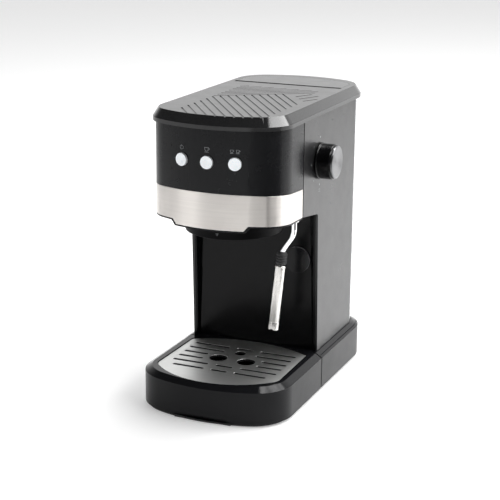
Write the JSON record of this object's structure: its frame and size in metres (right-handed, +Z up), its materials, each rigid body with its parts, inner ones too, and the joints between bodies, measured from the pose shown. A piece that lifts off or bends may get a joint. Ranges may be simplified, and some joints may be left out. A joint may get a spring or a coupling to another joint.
{
  "type": "espresso machine",
  "caption": "Slim pump espresso machine with a crowned head, push buttons, steam knob and wand, sliding drip tray, and a clear rear water tank with a flap lid.",
  "frame": {"origin": "centre of the overall box, knob included, on the plane of the table", "axes": "+Z up, -Y towards the front, +X towards the side with the steam knob"},
  "size_m": [0.1666, 0.2909, 0.3003],
  "materials": {
    "black_plastic": "satin moulded, fine grain",
    "gloss_plastic": "gloss moulded",
    "rubber": "matte",
    "fastener_steel": "machined",
    "grid_steel": "satin pressed sheet",
    "band_steel": "brushed along the band",
    "frame_plastic": "moulded",
    "button_plastic": "translucent white",
    "circuit_board": "solder mask",
    "collar_metal": "cast and machined",
    "screen_steel": "pressed",
    "boiler_alloy": "cast",
    "boiler_steel": "deep drawn",
    "red_silicone": "matte",
    "pale_plastic": "moulded",
    "valve_brass": "machined",
    "coil_metal": "lacquered",
    "knob_metal": "spun, dark anodised",
    "wand_chrome": "polished",
    "sleeve_steel": "satin",
    "clear_tank": "clear moulded",
    "hose_silicone": "translucent",
    "pipe_steel": "drawn"
  },
  "bodies": {
    "machine": {"base_housing": "black_plastic", "base_plate": "black_plastic", "rubber_feet": "rubber", "plate_screws": "fastener_steel", "left_side_panel": "black_plastic", "right_side_panel": "black_plastic", "column_front": "black_plastic", "column_disc": "black_plastic", "rear_panel": "black_plastic", "inner_frame": "frame_plastic", "panel_screws": "fastener_steel", "head_fascia": "black_plastic", "steel_band": "band_steel", "head_underside": "black_plastic", "top_cover": "black_plastic", "tank_lid_pin": "fastener_steel", "button_board": "circuit_board", "button_switches": "frame_plastic", "group_skirt": "black_plastic", "group_head": "collar_metal", "group_gasket": "rubber", "shower_screen": "screen_steel", "shower_screw": "fastener_steel", "boiler_base": "boiler_alloy", "boiler_seal": "red_silicone", "boiler_dome": "boiler_steel", "heating_element": "boiler_steel", "boiler_screws": "fastener_steel", "thermostat": "pale_plastic", "thermal_fuse": "pale_plastic", "steam_valve": "valve_brass", "wand_collar": "wand_chrome", "tank_socket": "frame_plastic", "tank_seal": "red_silicone", "suction_hose": "hose_silicone", "pump_body": "pale_plastic", "pump_coil": "coil_metal", "pump_mounts": "rubber", "pressure_tube": "hose_silicone", "steam_pipe": "pipe_steel", "boiler_pipe": "pipe_steel", "control_board": "circuit_board", "terminal_block": "pale_plastic", "cord_gland": "rubber"},
    "power_button_body": {"power_button": "button_plastic"},
    "single_cup_button_body": {"single_cup_button": "button_plastic"},
    "double_cup_button_body": {"double_cup_button": "button_plastic"},
    "knob": {"valve_stem": "fastener_steel", "steam_knob": "gloss_plastic", "knob_face": "knob_metal"},
    "wand": {"wand_tube": "wand_chrome", "wand_grip": "rubber", "wand_tip": "wand_chrome"},
    "sleeve": {"froth_sleeve": "sleeve_steel"},
    "tray": {"drip_tray": "gloss_plastic"},
    "grid": {"drip_grid": "grid_steel"},
    "tank": {"water_tank": "clear_tank", "tank_spigot": "pale_plastic"},
    "lid_flap": {"tank_lid": "black_plastic"}
  },
  "joints": [
    {"name": "power_button_press", "type": "slide", "parent": "machine", "child": "power_button_body", "axis": [0.2365, 0.9716, 0], "range_m": [0, 0.0012], "stiffness_N_per_m": 700, "springref_m": -0.001},
    {"name": "single_cup_button_press", "type": "slide", "parent": "machine", "child": "single_cup_button_body", "axis": [0, 1, 0], "range_m": [0, 0.0012], "stiffness_N_per_m": 700, "springref_m": -0.001},
    {"name": "double_cup_button_press", "type": "slide", "parent": "machine", "child": "double_cup_button_body", "axis": [-0.2365, 0.9716, 0], "range_m": [0, 0.0012], "stiffness_N_per_m": 700, "springref_m": -0.001},
    {"name": "steam_knob_turn", "type": "hinge", "parent": "machine", "child": "knob", "pos_m": [0.07275, -0.0135, 0.2415], "axis": [1, 0, 0], "range_deg": [0, 180]},
    {"name": "wand_swivel", "type": "hinge", "parent": "machine", "child": "wand", "pos_m": [0.04875, -0.0395, 0.19], "axis": [0, 0, 1], "range_deg": [-8, 150]},
    {"name": "froth_sleeve_pull", "type": "slide", "parent": "wand", "child": "sleeve", "axis": [-0.0727, -0.0788, -0.9942], "range_m": [0, 0.022]},
    {"name": "drip_tray_slide", "type": "slide", "parent": "machine", "child": "tray", "axis": [0, -1, 0], "range_m": [0, 0.13]},
    {"name": "grid_lift", "type": "slide", "parent": "tray", "child": "grid", "axis": [0, 0, 1], "range_m": [0, 0.02]},
    {"name": "tank_slide", "type": "slide", "parent": "machine", "child": "tank", "axis": [0, 1, 0], "range_m": [0, 0.06]},
    {"name": "tank_lid_hinge", "type": "hinge", "parent": "machine", "child": "lid_flap", "pos_m": [-0.00525, 0.0763, 0.2984], "axis": [1, 0, 0], "range_deg": [0, 100]}
  ]
}
